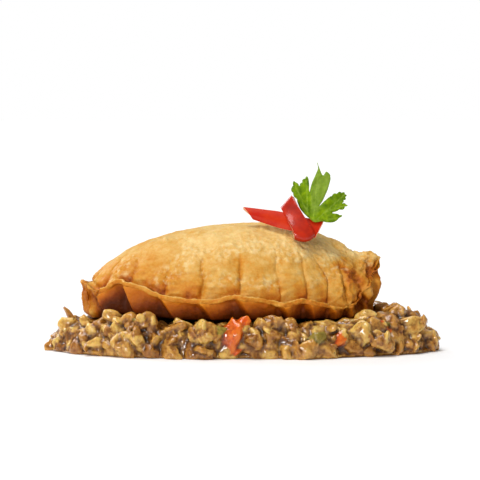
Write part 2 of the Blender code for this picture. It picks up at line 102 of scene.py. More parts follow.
# Outlines of the garnish in the front view, in mm across and up from its centre.
TAIL_TOP = ((-21.2, 4.6), (-13, 3.8), (-6, 3.0), (2, 1.0), (10.8, -0.4))
TAIL_BOTTOM = ((-17.0, 0.4), (-12, -1.4), (-6, -3.2), (2, -4.8), (7.4, -6.8))
TAIL_LEAN = 0.45
TAIL_SWEEP = 4.5
LOOP_HALF_LENGTH = 9.0 * MM
LOOP_HALF_DEPTH = 1.9 * MM
LOOP_WIDTH = 7.0 * MM
LOOP_BOW = 1.8
LOOP_SLOPE = Vector((0.51, -0.72, -1)).normalized()
LEAF_THICKNESS = 0.4 * MM
LEAF_AWAY = -2.2
LEAF_LEAN = 0.45
LEAF_TURN = 0.6
LEAF_EDGE = (
    (5.2, 0.8), (3.2, 2.6), (1.3, 5.0), (0.2, 8.0), (-1.7, 11.3), (-0.7, 15.1), (1.3, 13.6), (2.6, 15.5),
    (4.4, 17.1), (5.0, 14.3), (5.0, 12.1), (5.4, 11.3), (6.2, 14.7), (8.6, 20.1), (8.3, 22.7), (9.3, 20.3),
    (10.6, 17.7), (12.0, 19.1), (13.6, 17.3), (12.6, 12.9), (10.8, 8.7), (9.0, 5.7), (12.4, 8.8), (15.2, 10.6),
    (18.0, 11.2), (19.6, 10.2), (19.2, 8.4), (18.2, 7.0), (20.0, 6.3), (18.0, 4.6), (14.0, 3.2), (17.8, 2.2),
    (15.0, -0.3), (12.0, -0.5), (10.0, -0.1), (7.2, -0.5),
)
LEAF_RIBS = (
    ((6.2, -0.9), (-0.4, 13.7)), ((4.6, 4.1), (4.0, 15.7)), ((6.4, -0.9), (8.8, 20.1)), ((9.0, 8.1), (12.2, 17.7)),
    ((7.0, -0.4), (19.2, 10.3)), ((10.6, 3.1), (19.6, 6.1)), ((7.0, -0.5), (17.2, 1.3)),
)

# ---- what only the looks have

# Pieces of the relish that stand out in the front view: kind, mm across and up from the view's middle, length, width
# and thickness in mm, roll in degrees, tint from 0, pale, to 1, brown.
SHOWN_PIECES = (
    ("carrot", -3.7, -38.8, (12, 8, 6.6), 72, 0.25),
    ("carrot", 1.2, -33.4, (5.2, 3.2, 2.6), 40, 0.5),
    ("onion", -45.2, -42.6, (8.2, 7.8, 4.4), 10, 0.34),
    ("onion", -39.2, -35.2, (6.6, 5.6, 3.6), 60, 0.4),
    ("onion", -48.8, -36.4, (7.2, 5.4, 4.6), 20, 0),
    ("onion", -41.4, -39.8, (5.8, 4.2, 3.8), -50, 0.1),
    ("onion", -68.6, -34.8, (7.6, 5.6, 4), -30, 0.1),
    ("onion", -67.4, -31.4, (9.4, 2.2, 2), -56, 0.6),
    ("onion", -61.6, -34, (7.6, 3.6, 3), 118, 0.3),
    ("onion", -57, -41.6, (8.6, 3.4, 3.2), 12, 0.1),
    ("onion", -15.2, -37.2, (8.8, 7.6, 4.6), 20, 0.12),
    ("onion", -22.6, -34, (6, 3.4, 2.8), -22, 0.1),
    ("green", -8.6, -36.8, (5.8, 2.6, 2.2), 15, 0.1),
    ("onion", 4.4, -40.4, (8.6, 7.6, 4.6), 80, 0.62),
    ("green", 31, -39.6, (6.2, 4.2, 3.2), 20, 0.4),
    ("onion", 26.8, -44.8, (8.4, 5.4, 3.8), 42, 0.42),
    ("onion", 48.4, -37.8, (8.8, 8.2, 4.4), 74, 0.06),
    ("onion", 57, -41, (10, 4.8, 3.6), -36, 0.36),
    ("onion", 67.2, -34.8, (12.4, 5.6, 4), 6, 0.2),
    ("onion", 56.4, -27.8, (6.2, 5, 4), 30, 0.5),
    ("onion", 62.8, -29, (5, 4.6, 3.6), 70, 0.46),
    ("onion", 12.2, -34.2, (9.4, 7.2, 5), 10, 0.86),
    ("onion", 20, -34, (6.2, 5.4, 4), 70, 0.5),
    ("onion", 77.4, -40, (6.4, 4.2, 3.4), 100, 0.16),
    ("onion", -74.4, -42.6, (7, 3.4, 2.6), 12, 0.7),
    ("onion", -56, -30.2, (7, 5.6, 4.4), 30, 0.7),
    ("onion", -50.4, -31.2, (7.4, 5.2, 4.4), -20, 0.3),
    ("onion", -44, -30.6, (6.8, 5.4, 4.2), 40, 0.5),
    ("onion", -37.6, -33, (7.2, 5.4, 4.2), 12, 0.6),
)
SHOWN_LEAN = 0.35
# How much a piece that stands over the heap keeps to its front.
SIGHT_PULL = 0.15
# The heap's core from its foot: (share of the inset outline's radius, height in mm).
CORE_PROFILE = (
    (1.03, 0), (1.04, 0.25), (1.038, 0.6), (1.03, 0.9), (1.02, 1.6), (1.015, 3), (1.01, 5), (1.0, 7), (0.985, 9),
    (0.95, 11), (0.91, 12.2), (0.87, 12.8), (0.8, 12.8), (0.72, 12.4), (0.6, 12.4), (0.45, 12.4), (0.25, 12.4),
)
CORE_SIDES = 260
SAUCE_VOXEL = 0.65 * MM
SAUCE_SMOOTHING = 2
SAUCE_DEPTH = -0.06 * MM
# How much the heap is evened out to tell its hollows and its small ridges, and between which heights they lie. The
# hollows get painted shade, the ridges a painted highlight.
LEVELLINGS = (60, 9)
HOLLOWS = (-0.9 * MM, 0.5 * MM)
RIDGES = (-0.25 * MM, 0.3 * MM)
CRINKLE = 0.4 * MM
LIP_BULGE = 0.3 * MM
LIP_TILT = 0.2 * MM
BIT_COUNT = 300
BIT_LENGTH = (3.0 * MM, 6.6 * MM)
BIT_THICKNESS = (0.22, 0.4)
SPECK_COUNT = 520
LEAF_FOOT = Vector((6.5, -0.5))
TOOTH_STEPS = 6
TOOTH_HEIGHT = 0.55

CAMERA_DISTANCE = 1.2
CAMERA_RISE = math.radians(4)
CAMERA_AIM = Vector((-0.8 * MM, 0, 44 * MM))
CAMERA_BACK = Vector((0, -math.cos(CAMERA_RISE), math.sin(CAMERA_RISE)))
METRES_PER_PIXEL = 0.4 * MM
IMAGE_PIXELS = 480
SUNLIT = 1.35

# ---- how fine the looks are

STEPS_PER_CREASE = 32
BACK_STEPS = 100
RING_COUNTS = ((38, 14, 10, 102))
PIECE_CUTS = 6
BIT_CUTS = 2
LEAF_GRID = 0.8
LEAF_STEPS = 8


# ---- curves and noise


def ease(t):
    """0 to 1, level at both ends."""
    t = min(1.0, max(0.0, t))
    return t * t * (3 - 2 * t)


def between(x, start, rise, end, fall):
    """0 before start and after end, 1 between them once it has risen."""
    return ease((x - start) / rise) * ease((end - x) / fall)


@functools.cache
def table_arrays(table):
    """A table's places, values and slopes."""
    rows = np.array(table, float)
    places, values = rows[:, 0], rows[:, 1:]
    return places, values, np.gradient(values, places, axis=0)


def smooth_table(table, x):
    """The values at x of the smooth curve through a table whose rows start with x."""
    places, values, slopes = table_arrays(table)
    i = int(np.clip(np.searchsorted(places, x) - 1, 0, len(places) - 2))
    width = places[i + 1] - places[i]
    t = min(1.0, max(0.0, (x - places[i]) / width))
    start = (1 + 2 * t) * (1 - t) ** 2 * values[i] + t * (1 - t) ** 2 * width * slopes[i]
    end = t * t * (3 - 2 * t) * values[i + 1] - t * t * (1 - t) * width * slopes[i + 1]
    return start + end


def curve_through(points, t):
    """The point at t, 0 to 1, of a smooth curve through evenly shared points."""
    table = tuple((i, *point) for i, point in enumerate(points))
    return smooth_table(table, t * (len(points) - 1))


def grain(point, scale, seed):
    """Uneven height, about -1 to 1."""
    return noise.noise(Vector(point) / scale + Vector((seed, 0.7 * seed, -seed)))


# ---- meshes and objects


def gathered(*meshes):
    """Some meshes' faces, open for work."""
    work = bmesh.new()
    for mesh in meshes:
        work.from_mesh(mesh)
    return work


def kept_in(mesh, work):
    """The mesh, with finished work in it."""
    work.to_mesh(mesh)
    work.free()
    return mesh


def surface_of(*meshes):
    """A search tree over some meshes' faces."""
    work = gathered(*meshes)
    tree = BVHTree.FromBMesh(work)
    work.free()
    return tree


def ring_sphere(sides, rings):
    """A sphere and, for each of its points, the number of its ring from the bottom and its angle."""
    bpy.ops.mesh.primitive_uv_sphere_add(segments=sides, ring_count=rings)
    sphere = bpy.context.object
    where = []
    for vertex in sphere.data.vertices:
        x, y, z = vertex.co
        up = math.asin(max(-1.0, min(1.0, z))) / math.pi + 0.5
        where.append((round(up * rings), math.atan2(y, x)))
    return sphere, where


def linked(name, data):
    """A new object in the scene."""
    made = bpy.data.objects.new(name, data)
    bpy.context.scene.collection.objects.link(made)
    return made


def modify(obj, kind, **settings):
    """Adds a modifier with these settings."""
    made = obj.modifiers.new(kind.lower(), kind)
    for name, value in settings.items():
        setattr(made, name, value)


def applied(obj):
    """The object with its modifiers applied."""
    graph = bpy.context.evaluated_depsgraph_get()
    made = linked(obj.name, bpy.data.meshes.new_from_object(obj.evaluated_get(graph)))
    bpy.data.objects.remove(obj)
    return made


def store(obj, name, values):
    """Keeps one number for each vertex."""
    layer = obj.data.attributes.new(name, "FLOAT", "POINT")
    layer.data.foreach_set("value", np.array(values, np.float32))


def paint(obj, materials):
    """Gives an object these materials."""
    obj.data.materials.clear()
    for material in materials:
        obj.data.materials.append(material)


def dressed(obj, name, node, materials):
    """Names the piece, gives it its materials, hangs it from the root and hides the solid that it stands for."""
    obj.name = name
    obj.data.name = name
    if len(obj.data.materials) != len(materials):
        paint(obj, materials)
    obj.data.shade_smooth()
    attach(obj, "root")
    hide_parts(node)
    return obj


# ---- crust


def round_the_rim():
    """The angle and the crease count of each side of the crust, along the crimped rim and then round the back."""
    sides = []
    for number, (start, end) in enumerate(zip(CREASES, CREASES[1:])):
        for step in range(STEPS_PER_CREASE):
            share = step / STEPS_PER_CREASE
            sides.append((math.radians(start + (end - start) * share), number + share))
    for angle in np.linspace(CREASES[-1], CREASES[0] + 360, BACK_STEPS, endpoint=False):
        sides.append((math.radians(angle), len(CREASES) - 1.0))
    return sides


SIDES = round_the_rim()


@dataclasses.dataclass
class Rim:
    """What one side's section hangs on: a place on the rim, in plan, and the shape of the section there."""

    point: Vector
    outward: Vector
    lip: float
    inset: float
    roundness: float
    crimped: float
    lobed: float
    crease: float


@functools.cache
def rim_at(side):
    """The rim at one side of the crust."""
    angle, crease = SIDES[side]
    depth = FRONT_DEPTH if math.sin(angle) < 0 else BACK_DEPTH
    point = Vector((HALF_LENGTH * math.cos(angle), depth * math.sin(angle)))
    outward = Vector((math.cos(angle) / HALF_LENGTH, math.sin(angle) / depth)).normalized()
    degrees = math.degrees(angle)
    lip, inset, roundness = smooth_table(SECTIONS, degrees - 360 if degrees > SECTIONS[-1][0] else degrees)
    crimped = between(crease, 0, 1.4, len(CREASES) - 1, 1.4)
    lobed = ease((point.x - LOBES_FROM) / (12 * MM))
    return Rim(point, outward, lip * MM, inset * MM, roundness, crimped, lobed, crease)


def unlike(number):
    """A size of its own for each crease or pleat, about 1."""
    return 1 + 0.8 * noise.noise(Vector((number * 7.31, 2.7, 0.4)))


def pleat(crease):
    """A pleat's height, -0.5 to 0.5: proud at its first crease, it falls away to the next, which it slips under."""
    share = crease % 1
    fall = 0.86
    saw = 1 - share / fall if share < fall else (share - fall) / (1 - fall)
    return (saw - 0.5) * unlike(math.floor(crease + 1 - fall))


def groove(crease):
    """A groove at each crease, about -1 at its deepest: a fine line in a soft hollow, between nearly flat pillows."""
    near = abs(2 * (crease % 1) - 1)
    return 0.15 - (0.55 * near**4 + 0.6 * near**16) * unlike(round(crease) + 40)


def lobe(crease):
    """A full round swelling between two creases, -0.5 to 0.5."""
    return 0.5 - abs(2 * (crease % 1) - 1) ** 2.5


def edge_wave(rim):
    """How far the lip's edge stands out or in at a crease."""
    swell = 0.7 * LOBE_DEPTH * rim.lobed * (lobe(rim.crease) - 0.4)
    return rim.crimped * (EDGE_WAVE * pleat(rim.crease) + swell)


def lip_thickness(rim):
    """The lip's thickness, which dies away in the lobes and round the folded back."""
    return LIP_THICKNESS * (0.2 + 0.8 * rim.crimped * (1 - rim.lobed))


def under_drop(rim, along):
    """How far down the underside is, 0 to 1, from the lip's lower edge, along 0, to the base, along 1."""
    pleated = 0.06 * along + 0.74 * ease((along - 0.1) / 0.42) + 0.2 * along**2
    return (1 - rim.roundness) * pleated + rim.roundness * math.sin(along * math.pi / 2)


def fold_height(rim, along):
    """A pleat's height under the rim, -0.5 to 0.5. The pleats lean over on their way down."""
    return pleat(rim.crease - PLEAT_SLANT * under_drop(rim, along))


def underside_point(rim, up):
    """From the flat base, up 0, out to the lip's lower edge, up 1."""
    along = 1 - up
    inward = (1 - rim.roundness) * along**1.6 + rim.roundness * (1 - math.cos(along * math.pi / 2))
    lower_edge = rim.lip - lip_thickness(rim)
    depth = between(along, -0.03, 0.25, 1, 0.4)
    fold = rim.crimped * PLEAT_DEPTH * fold_height(rim, along) * depth
    x, y = rim.point + rim.outward * (fold + edge_wave(rim) * (1 - along**2) - rim.inset * inward)
    return Vector((x, y, lower_edge - (lower_edge - TURNOVER_BASE) * under_drop(rim, along)))


def lip_point(rim, up):
    """Round the lip's edge, from its lower corner, up 0, to its upper one, up 1. It faces up a little."""
    swell = LIP_BULGE * math.sin(math.pi * up) + LIP_TILT * (1 - up)
    x, y = rim.point + rim.outward * (edge_wave(rim) + swell * rim.crimped)
    return Vector((x, y, rim.lip - lip_thickness(rim) * (1 - up)))


def root_point(rim):
    """Where the dome rises from the rim."""
    x, y = rim.point - rim.outward * LIP_WIDTH * rim.crimped * (1 - 0.8 * rim.lobed)
    return Vector((x, y, rim.lip - SHELF_DIP * rim.crimped * (1 - rim.lobed)))


def shelf_point(rim, inward):
    """Along the rim's top, from the lip's edge, inward 0, to the dome's root, inward 1."""
    point = lip_point(rim, 1).lerp(root_point(rim), inward)
    point.z -= 0.3 * MM * rim.crimped * math.sin(math.pi * inward)
    return point


def dome_point(rim, up):
    """Over the dome, from its root, up 0, to the crown, up 1. Each groove fades out at its own height, and the right
    end swells into lobes."""
    root = root_point(rim)
    out = math.cos(up * math.pi / 2)
    x = root.x * out**0.4
    y = root.y * out
    crown = smooth_table(CROWN, x / MM)[0] * MM
    rise = max(0.0, 1 - out**DOME_FULLNESS) ** 0.5
    wander = 0.1 * noise.noise(Vector((rim.crease * 0.7, up * 6, 9.1))) * ease(up / 0.2)
    to_the_right = ease((root.x - 18 * MM) / (20 * MM))
    wander *= 1 + 2 * to_the_right
    ends = 0.5 + 0.25 * (unlike(round(rim.crease)) - 1)
    swell = GROOVE_DEPTH * groove(rim.crease + wander) * ease(up / 0.08) * ease((ends - up) / 0.25)
    swell *= 1 - 0.55 * to_the_right
    swell += LOBE_DEPTH * rim.lobed * 0.6 * (lobe(rim.crease + wander) - 0.3) * ease((0.55 - up) / 0.4)
    x, y = Vector((x, y)) + rim.outward * swell * rim.crimped
    return Vector((x, y, root.z + (crown - root.z) * rise + 0.3 * swell * rim.crimped))


STRETCHES = (underside_point, lip_point, shelf_point, dome_point)
UNDERSIDE, LIP, SHELF, DOME = range(4)


def crust_point(side, station):
    """A point of the crust: a whole station starts each of the four stretches of its section, from base to crown."""
    rim = rim_at(side)
    stretch = min(int(station), DOME)
    point = STRETCHES[stretch](rim, station - stretch)
    off_base = ease((point.z - TURNOVER_BASE) / (6 * MM))
    rough = 0.5 + 0.3 * rim.crimped + 1.2 * ease((point.x - LOBES_FROM) / (12 * MM))
    point += noise.noise_vector(point / (9 * MM)) * rough * off_base * MM
    point.z = max(TURNOVER_BASE, point.z)
    return point + TURNOVER_CENTRE.to_3d()


def at_an_end(point):
    """How near a point of the crust is to its left or right end, 0 to 1 each."""
    across = point.x - TURNOVER_CENTRE.x
    return ease((-across - 50 * MM) / (5 * MM)), ease((across - 36 * MM) / (12 * MM))


def flaky_at(station, point):
    """How crinkled and flaky the crust is, 0 to 1: in patches, on the dome's shoulders."""
    patch = ease((grain(point, 13 * MM, 31.0) + 0.15) / 0.35)
    return patch * between(station - DOME, 0.05, 0.1, 0.85, 0.3)


def fried_relief(rim, station, point):
    """The small relief of fried dough, in mm out from the skin: a ragged lip, crinkled patches, fine wrinkles low on
    the pillows, blisters, and lumps at the ends."""
    near_lip = between(station, 0.85, 0.25, 3.02, 0.5) * rim.crimped * (1 - 0.7 * rim.lobed)
    low_dome = between(station, 3, 0.05, 3.5, 0.3)
    left, right = at_an_end(point)
    ends = max(1.2 * left, right)
    wrinkle = grain((point.x * 0.4, point.y * 0.4, point.z), 1.7 * MM, 3.1)
    height = 0.2 * grain(point, 2.2 * MM, 2.2)
    height += near_lip * (0.42 * grain(point, 2.4 * MM, 5.0) + 0.3 * grain(point, 1.1 * MM, 8.0))
    height += low_dome * 0.45 * wrinkle
    folds = 0.9 * (0.25 - abs(grain(point, 4.4 * MM, 17.0))) + 0.4 * grain(point, 1.5 * MM, 4.4)
    height += flaky_at(station, point) * folds
    lumpy = 1.8 * (0.15 - abs(grain(point, 6.0 * MM, 1.3))) + 0.8 * (0.1 - abs(grain(point, 2.4 * MM, 6.2)))
    height += ends * (lumpy + 1.0 * grain(point, 8 * MM, 40.0) - 0.4)
    return height + 1.2 * max(0.0, grain(point, 3.2 * MM, 12.0) - 0.4)


def toast_and_shade_at(rim, station, point, height):
    """How far the crust is toasted, 0 to 1, before the patches that the colour adds, with painted shade and a painted
    highlight in it. Height is its small relief.
    """
    left, right = at_an_end(point)
    up = station - DOME
    if up >= 0:
        corner = ease((0.22 - up) / 0.2) * ease((rim.crease % 1 - 0.35) / 0.4) * rim.crimped
        # Painted light: paler towards the crown, as if lit from above; browner at the pillows' low corners.
        toast_and_shade = 0.36 - 0.26 * ease((up - 0.15) / 0.55) + 0.42 * corner
        # Painted shade: darker along the grooves.
        toast_and_shade += 0.16 * ease((0.5 - up) / 0.3) * (-groove(rim.crease)) * rim.crimped
        toast_and_shade += 0.18 * ease((-point.x - 12 * MM) / (20 * MM))
    elif station >= SHELF:
        toast_and_shade = 0.35 + 0.3 * ease((station - SHELF) / 0.4)
    elif station >= LIP:
        # Painted highlight: the lip's band is paler along its top edge.
        toast_and_shade = 0.64 - 0.4 * ease((station - LIP - 0.75) / 0.25)
    else:
        # Painted shade: darker where each pleat slips under the next, towards the base and in a hollow near the left
        # end.
        drop = under_drop(rim, 1 - station)
        toast_and_shade = 0.34 + 0.35 * (0.5 - fold_height(rim, 1 - station)) + 0.7 * drop
        toast_and_shade += 0.3 * ease(1 - abs(rim.crease - 3.3) / 0.6) * ease(drop / 0.5)
    sides = ease((0.9 - up) / 0.4)
    mottled = 0.44 + 0.5 * grain(point, 6 * MM, 21.0)
    # At the right end, browned in patches, with its top painted paler as if lit.
    browned_and_lit = mottled + 0.14 - 0.4 * ease((point.z - 32 * MM) / (6 * MM))
    toast_and_shade += (left * (mottled - toast_and_shade) + right * (browned_and_lit - toast_and_shade)) * 0.8 * sides
    # Painted shade and light: darker in the dents of the small relief, paler where it stands out.
    return min(1.0, max(0.0, toast_and_shade - 0.16 * height))


def make_crust():
    """The fried crust, shaped from a sphere whose rings become the stations of the section."""
    stations = [0]
    for stretch, count in enumerate(RING_COUNTS):
        stations.extend(stretch + step / count for step in range(count))
    stations.append(len(STRETCHES))
    crust, where = ring_sphere(len(SIDES), len(stations) - 1)
    vertices = crust.data.vertices
    places = []
    for vertex, (ring, angle) in zip(vertices, where):
        side = round(angle / (2 * math.pi) * len(SIDES)) % len(SIDES)
        vertex.co = crust_point(side, stations[ring]) if ring else (*TURNOVER_CENTRE, TURNOVER_BASE)
        places.append((rim_at(side), stations[ring]))
    outward = [vertex.normal.copy() for vertex in vertices]
    marks = {"toast_and_shade": [], "flaky": [], "under": []}
    for vertex, normal, (rim, station) in zip(vertices, outward, places):
        height = fried_relief(rim, station, vertex.co)
        # Toasting, with painted shade in creases, recesses and under the rim and a painted highlight on the lip's top
        # edge.
        marks["toast_and_shade"].append(toast_and_shade_at(rim, station, vertex.co, height))
        vertex.co += normal * height * MM * ease((vertex.co.z - TURNOVER_BASE) / (6 * MM))
        vertex.co.z = max(TURNOVER_BASE, vertex.co.z)
        marks["flaky"].append(flaky_at(station, vertex.co))
        # The underside's colour is oil-soaked and painted darker as shade, less so in the lobes and at the left end.
        soaked_and_shaded = 1 - 0.8 * max(rim.lobed, at_an_end(vertex.co)[0])
        marks["under"].append(soaked_and_shaded * ease((1.2 - station) / 0.4))
    for name, values in marks.items():
        store(crust, name, values)
    return dressed(crust, "crust", "turnover", [crust_material()])


# ---- relish


def heap_outline(angle, inset=0.0):
    """The relish's uneven outline in plan."""
    c, s = math.cos(angle), math.sin(angle)
    radius = 1 / math.sqrt((c / (RELISH_LENGTH / 2 - inset)) ** 2 + (s / (RELISH_DEPTH / 2 - inset)) ** 2)
    wander = noise.noise(Vector((2.2 * c, 2.2 * s, 0.3))) + 0.5 * noise.noise(Vector((5 * c, 5 * s, 4.1)))
    squarer = 1 + 0.06 * math.sin(2 * angle) ** 2
    return Vector((c, s)) * radius * squarer * (1 + 0.045 * wander)


def make_core():
    """The heap's core: a thin film of sauce at the foot, lumpy sides and a level top under the crust."""
    core, where = ring_sphere(CORE_SIDES, len(CORE_PROFILE) + 1)
    profile = ((0, 0), *CORE_PROFILE, (0, 12.4))
    for vertex, (ring, angle) in zip(core.data.vertices, where):
        share, height = profile[ring]
        plan = heap_outline(angle, CORE_INSET) * share
        point = Vector((plan.x, plan.y, height * MM))
        film = ease((share - 1.0) / 0.05)
        side = ease((share - 0.72) / 0.12) * (1 - film) * (1 if height > 0.1 else 0)
        out = plan.normalized().to_3d()
        point += out * film * 1.6 * MM * grain(point * 0.6, 5 * MM, 3.0)
        point += out * side * (1.1 * grain(point, 4 * MM, 1.0) + 0.5 * grain(point, 1.8 * MM, 2.0)) * MM
        point.z = max(0.0, point.z - side * MM * (0.6 + 0.6 * grain(point, 3 * MM, 5.0)))
        vertex.co = point
    return core


def softened(obj, rounds, depth):
    """A copy of an object with its surface evened out and sunk by this depth, cut off at the table."""
    copy = linked(obj.name, obj.data)
    modify(copy, "SMOOTH", factor=0.5, iterations=rounds)
    modify(copy, "DISPLACE", mid_level=0, strength=-depth)
    copy = applied(copy)
    for vertex in copy.data.vertices:
        vertex.co.z = max(0.0, vertex.co.z)
    return copy


def make_sauce(core, kinds):
    """The sauce over and between the pieces: core and pieces fused and softened, so that it fills the gaps and thins
    out over the pieces' tops. Each point keeps the tint and kind of the piece under it."""
    pieces = [(name, kind) for name, pair in kinds.items() for kind in pair]
    meshes = [kind.mesh("fused") for _, kind in pieces]
    under = surface_of(*meshes)
    mesh = kept_in(bpy.data.meshes.new("relish_sauce"), gathered(*meshes, core.data))
    fused = linked("relish_sauce", mesh)
    modify(fused, "REMESH", mode="VOXEL", voxel_size=SAUCE_VOXEL)
    fused = applied(fused)
    broad, near = (softened(fused, rounds, 0) for rounds in LEVELLINGS)
    sauce = softened(fused, SAUCE_SMOOTHING, SAUCE_DEPTH)
    outward = [vertex.normal.copy() for vertex in sauce.data.vertices]
    for vertex, normal in zip(sauce.data.vertices, outward):
        crease = abs(grain(vertex.co, 1.9 * MM, 7.0)) - 0.2 + 0.4 * grain(vertex.co, 1.1 * MM, 1.0)
        vertex.co += normal * CRINKLE * crease
        vertex.co.z = max(0.0, vertex.co.z)
    owners = [(name, tint) for name, kind in pieces for tint in kind.tints for _ in kind.unit_faces]
    marks = [owners[under.find_nearest(vertex.co)[2]] for vertex in sauce.data.vertices]
    store(sauce, "tint", [tint for _, tint in marks])
    for kind in ("green", "carrot"):
        store(sauce, kind, [name == kind for name, _ in marks])
    surfaces = surface_of(broad.data), surface_of(near.data)
    keep_heights(sauce, *surfaces)
    for spare in (fused, broad, near):
        bpy.data.objects.remove(spare)
    return sauce, surfaces


def rounded_cube(cuts, power):
    """Corners and faces of a unit cube with its edges rounded off."""
    mesh = bmesh.new()
    bmesh.ops.create_cube(mesh, size=2)
    bmesh.ops.subdivide_edges(mesh, edges=mesh.edges, cuts=cuts, use_grid_fill=True)
    points = np.array([vertex.co for vertex in mesh.verts])
    faces = [[vertex.index for vertex in face.verts] for face in mesh.faces]
    mesh.free()
    reach = (np.abs(points) ** power).sum(axis=1) ** (1 / power)
    return 0.5 * points / reach[:, None], faces


def corner_order():
    """The twelve corners of a block in two sections, in the order in which their unevenness is drawn."""
    mesh = bmesh.new()
    bmesh.ops.create_cube(mesh, size=1)
    along = [e for e in mesh.edges if abs((e.verts[0].co - e.verts[1].co).x) > 0.5]
    bmesh.ops.subdivide_edges(mesh, edges=along, cuts=1)
    order = [tuple(round(2 * value) for value in vertex.co) for vertex in mesh.verts]
    mesh.free()
    return order


CORNERS = corner_order()


def uneven_corners(draw, most):
    """How far each corner of a block is out of true, up to this much."""
    return {corner: draw.uniform(-most, most) for corner in CORNERS}


def block_points(unit, length, width, thick, bend, uneven):
    """The corners of a chopped block: tapered and bent, its twelve corners uneven."""
    x, y, z = (2 * unit).T
    jitter = np.zeros(len(unit))
    for (cx, cy, cz), amount in uneven.items():
        along = 1 - np.abs(x) if cx == 0 else np.clip(cx * x, 0, 1)
        jitter += amount * along * (1 + cy * y) * (1 + cz * z) / 4
    ends = np.sqrt(x**2 + 0.02)
    taper = 1 - 0.45 * ends + jitter
    return np.stack([x * length / 2, y * width * taper / 2, z * thick * taper / 2 + bend * (0.5 - ends)], axis=1)


def turned(points, turn, place):
    """Points turned by a rotation and moved to a place."""
    return points @ np.array(turn).T + np.array(place)


def flakes_of(unit, size, uneven, draw):
    """A chopped block, whole or as the two onion layers that it falls into, each cupped and slipped a little."""
    length, width, thick, bend = size
    layers = draw.choice((1, 1, 2))
    for layer in range(layers):
        middle = ((layer + 0.5) / layers - 0.5) * thick
        stretch = draw.uniform(0.85, 1.1)
        ragged = {corner: amount + draw.uniform(-0.2, 0.2) for corner, amount in uneven.items()}
        points = block_points(unit, length * stretch, width * stretch, thick / layers, bend, ragged)
        points[:, 2] += middle - draw.uniform(0.02, 0.06) * (points[:, 1] ** 2 + 0.5 * points[:, 0] ** 2) / MM
        slip = Matrix.Rotation(draw.uniform(-0.5, 0.5), 3, "Z") @ Matrix.Rotation(draw.uniform(-0.25, 0.25), 3, "X")
        shift = (draw.uniform(-0.1, 0.1) * length, draw.uniform(-0.1, 0.1) * width, 0)
        yield turned(points, slip, shift)


class Pieces:
    """One kind of chopped piece, gathered as a single mesh."""

    def __init__(self, cuts, power):
        self.unit, self.unit_faces = rounded_cube(cuts, power)
        self.points, self.tints, self.own = [], [], []

    def add(self, points, tint, size):
        """Adds one piece, with its tint and its own coordinates for the grain."""
        self.points.append(points)
        self.tints.append(tint)
        self.own.append(self.unit * np.array(size) + tint * 0.1)

    def mesh(self, name):
        """All the pieces as one mesh."""
        starts = range(0, len(self.points) * len(self.unit), len(self.unit))
        faces = [[i + start for i in face] for start in starts for face in self.unit_faces]
        mesh = bpy.data.meshes.new(name)
        mesh.from_pydata(np.concatenate(self.points).tolist(), [], faces)
        return mesh

    def build(self, name, material, surfaces):
        """The mesh object of all the pieces."""
        made = linked(name, self.mesh(name))
        store(made, "tint", np.repeat(self.tints, len(self.unit)))
        keep_heights(made, *surfaces)
        own = made.data.attributes.new("own", "FLOAT_VECTOR", "POINT")
        own.data.foreach_set("vector", np.concatenate(self.own).astype(np.float32).ravel())
        dressed(made, name, "relish", [material])


def keep_heights(obj, broad, near):
    """Keeps how deep each point lies in a hollow of the heap or under the crust, where brown sauce and painted shade
    go, and how far it stands out from what is near it.
    """
    places = [vertex.co for vertex in obj.data.vertices]
    store(obj, "sauce_and_shade", [max(1 - height_over(broad, place, HOLLOWS), shadow_under_crust(place)) for place in places])
    store(obj, "ridge", [height_over(near, place, RIDGES) for place in places])


def height_over(surface, point, limits):
    """How far out from a surface a point is, 0 to 1 between the limits."""
    place, normal, _, _ = surface.find_nearest(point)
    low, high = limits
    return ease(((point - place).dot(normal) - low) / (high - low))


def ceiling(x, y):
    """The lowest height of the crust over a point of the heap, or None where nothing is above it."""
    found, _, _, _ = CRUST_TREE.ray_cast(Vector((x, y, -1)), Vector((0, 0, 1)))
    return found.z if found else None


def shadow_under_crust(place):
    """How far a point of the heap is under the crust, 0 in the open to 0.8: there a shadow is painted."""
    return 0.4 * sum(ceiling(place.x, place.y + shift) is not None for shift in (-2.5 * MM, 1.0 * MM))


def relief(points, seed):
    """Points moved a little each way, as soft wet onion is never quite flat."""
    moved = []
    for point in points:
        place, shift = Vector(point), Vector((seed, seed, seed))
        broad = noise.noise_vector(place / (4 * MM) + shift) * 0.9 * MM
        fine = noise.noise_vector(place / (1.5 * MM) - shift) * 0.3 * MM
        moved.append(place + broad + fine)
    return np.array(moved)


def settle(points, height):
    """Points lowered clear of the crust above them and cut off at the table, or None where there is no room."""
    down = 0.0
    for x, y, z in points:
        for dx, dy in ((0, 0), (1, 0), (-1, 0), (0, 1), (0, -1)):
            over = ceiling(x + dx * MM, y + dy * MM)
            if over is not None:
                down = max(down, z - over + PIECE_CLEARANCE)
    if down > 0.35 * height:
        return None
    low = points.copy()
    low[:, 2] = np.maximum(0.0, low[:, 2] - down)
    return low


